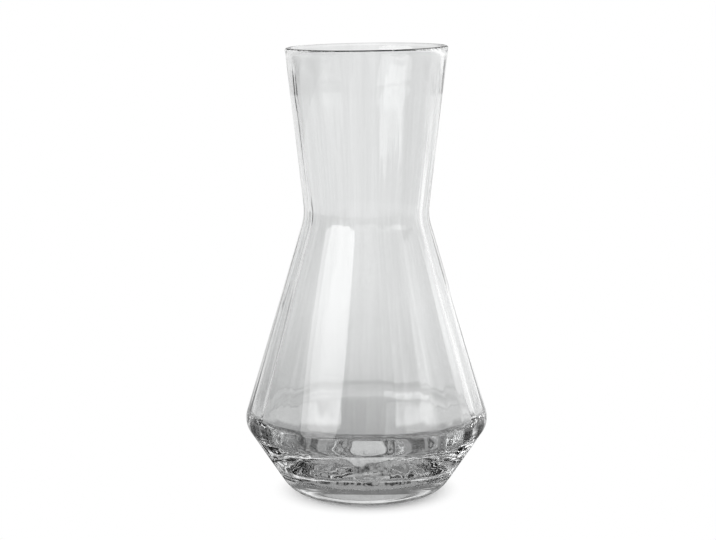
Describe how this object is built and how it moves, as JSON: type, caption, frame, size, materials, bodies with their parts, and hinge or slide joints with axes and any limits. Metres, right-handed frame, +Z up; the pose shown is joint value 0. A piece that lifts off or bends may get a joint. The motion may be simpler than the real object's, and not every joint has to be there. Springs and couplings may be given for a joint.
{
  "type": "water carafe",
  "caption": "Open glass carafe with a flared neck for pouring, a soft waist to grip, a wide low belly and a thick base; smooth outside, soft optic ribs inside.",
  "frame": {"origin": "on the table, under the centre of the base", "axes": "+Z up along the carafe's axis, through the mouth; +Y away from the viewer of the picture"},
  "size_m": [0.1252, 0.1252, 0.23],
  "materials": {
    "glass": "clear polished glass, faintly grey in thick sections"
  },
  "bodies": {
    "root": {"carafe_glass": "glass"}
  },
  "joints": []
}
